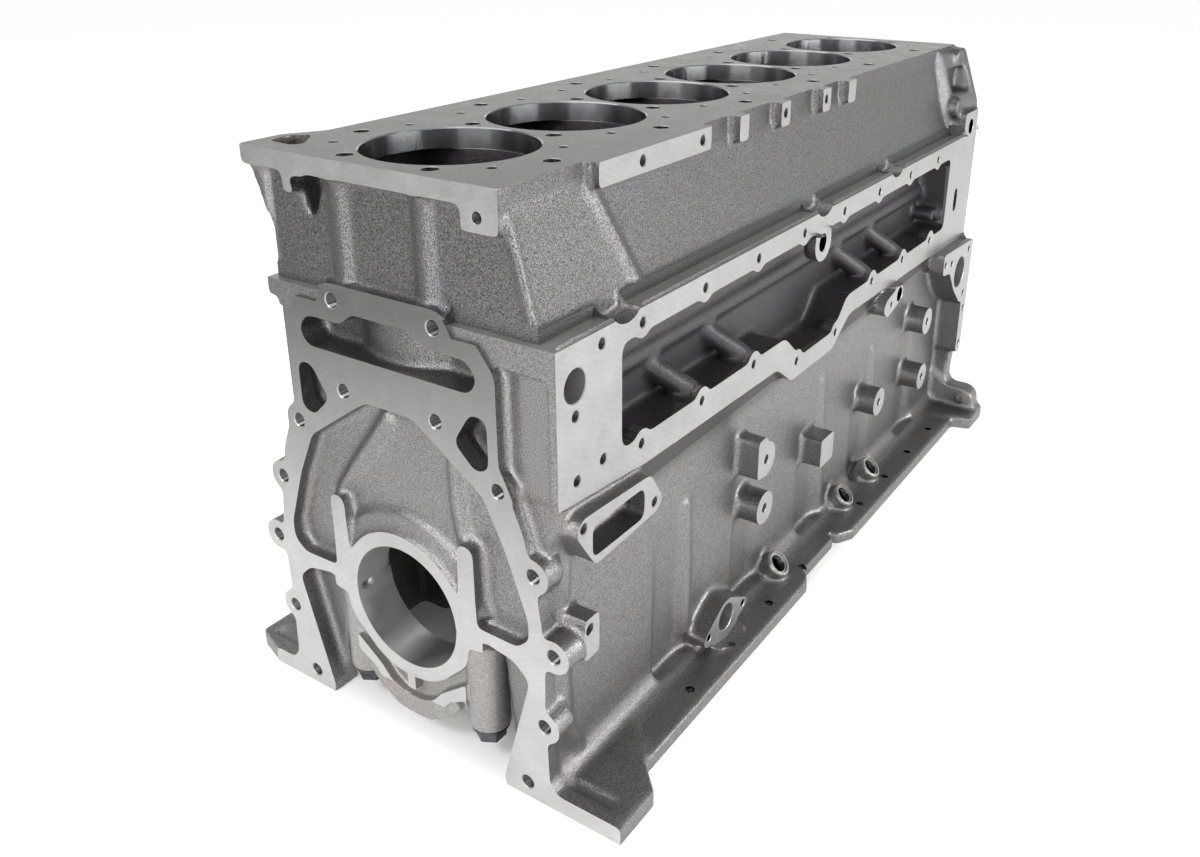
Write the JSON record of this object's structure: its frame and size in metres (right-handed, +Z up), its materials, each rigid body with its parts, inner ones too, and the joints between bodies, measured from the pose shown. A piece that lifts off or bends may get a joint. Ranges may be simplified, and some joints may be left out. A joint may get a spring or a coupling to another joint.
{
  "type": "engine block",
  "caption": "Cast-iron cylinder block of an in-line six diesel engine with its main bearing caps bolted in place",
  "frame": {"origin": "on the crankshaft centreline at the front machined face", "axes": "+X along the crankshaft to the rear, +Z up towards the deck, -Y towards the side with the long cover opening"},
  "size_m": [1.06, 0.498, 0.585],
  "materials": {
    "cast_block": "as cast, with machined faces",
    "cast_cap": "as cast, with machined faces",
    "bolt_steel": "black oxide",
    "washer_steel": "black oxide"
  },
  "bodies": {
    "root": {"cylinder_block": "cast_block", "main_cap_1": "cast_cap", "main_cap_1_bolts": "bolt_steel", "main_cap_1_washers": "washer_steel", "main_cap_2": "cast_cap", "main_cap_2_bolts": "bolt_steel", "main_cap_2_washers": "washer_steel", "main_cap_3": "cast_cap", "main_cap_3_bolts": "bolt_steel", "main_cap_3_washers": "washer_steel", "main_cap_4": "cast_cap", "main_cap_4_bolts": "bolt_steel", "main_cap_4_washers": "washer_steel", "main_cap_5": "cast_cap", "main_cap_5_bolts": "bolt_steel", "main_cap_5_washers": "washer_steel", "main_cap_6": "cast_cap", "main_cap_6_bolts": "bolt_steel", "main_cap_6_washers": "washer_steel", "main_cap_7": "cast_cap", "main_cap_7_bolts": "bolt_steel", "main_cap_7_washers": "washer_steel"}
  },
  "joints": []
}
